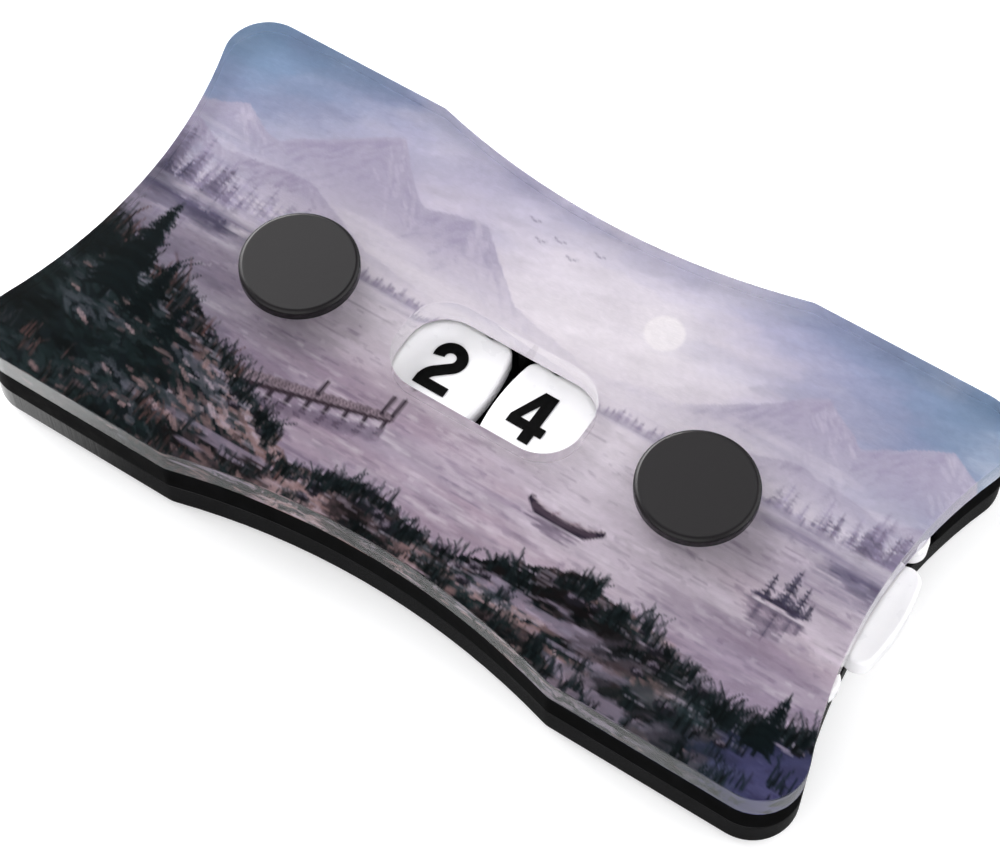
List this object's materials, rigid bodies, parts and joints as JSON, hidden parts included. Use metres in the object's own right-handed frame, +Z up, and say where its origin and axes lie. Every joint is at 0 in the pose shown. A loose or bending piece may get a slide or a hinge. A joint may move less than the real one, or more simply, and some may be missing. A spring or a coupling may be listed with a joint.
{
  "type": "life counter",
  "caption": "Flat life counter for games: a clear printed cover and a black base hold lobed number dials that show through a window.",
  "frame": {"origin": "under the middle of the body, on the plane that the two screw heads stand on", "axes": "+X from the left dial to the right dial, +Z up through the clear cover"},
  "size_m": [0.0848, 0.045, 0.0112],
  "materials": {
    "clear_acrylic": "clear, polished faces and flame-clear cut edges",
    "print_ink": "printed picture seen through the cover",
    "black_acrylic": "gloss black sheet",
    "rail_acrylic": "black sheet with satin cut edges",
    "white_acrylic": "white, lightly satin",
    "number_ink": "printed black",
    "hub_plastic": "natural white moulded plastic",
    "washer_plastic": "thin natural plastic film",
    "post_plastic": "fine satin black moulding"
  },
  "bodies": {
    "body": {"base_plate": "black_acrylic", "rear_rail": "rail_acrylic", "front_rail": "rail_acrylic", "art_print": "print_ink", "cover_plate": "clear_acrylic", "left_hub_spacer": "hub_plastic", "right_hub_spacer": "hub_plastic", "left_lower_washer": "washer_plastic", "left_upper_washer": "washer_plastic", "right_lower_washer": "washer_plastic", "right_upper_washer": "washer_plastic", "left_post": "post_plastic", "right_post": "post_plastic", "left_screw": "post_plastic", "right_screw": "post_plastic"},
    "left_wheel": {"left_dial": "white_acrylic", "left_dial_numbers": "number_ink"},
    "right_wheel": {"right_dial": "white_acrylic", "right_dial_numbers": "number_ink"}
  },
  "joints": [
    {"name": "left_dial_spin", "type": "hinge", "parent": "body", "child": "left_wheel", "pos_m": [-0.02119, 0, 0.0056], "axis": [0, 0, 1], "continuous": true},
    {"name": "right_dial_spin", "type": "hinge", "parent": "body", "child": "right_wheel", "pos_m": [0.02119, 0, 0.0056], "axis": [0, 0, 1], "continuous": true}
  ]
}
